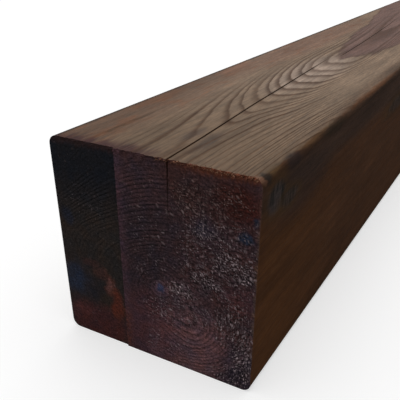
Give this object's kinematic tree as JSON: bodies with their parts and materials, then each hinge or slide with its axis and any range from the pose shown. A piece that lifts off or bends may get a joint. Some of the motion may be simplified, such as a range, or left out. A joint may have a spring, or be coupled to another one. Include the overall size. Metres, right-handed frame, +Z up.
{
  "type": "square wooden post",
  "caption": "Square planed softwood post, brown treated, with rounded long edges, sawn ends and drying checks, lying on one face; for fences, gates and frames.",
  "frame": {"origin": "middle of the underside, on the floor that the post lies on", "axes": "+Z up, +Y along the post's length away from the end with the saw step, +X across its width"},
  "size_m": [0.145, 1.8, 0.145],
  "materials": {
    "treated_softwood": "planed, brown pressure-treated, satin"
  },
  "bodies": {
    "root": {"post": "treated_softwood"}
  },
  "joints": []
}
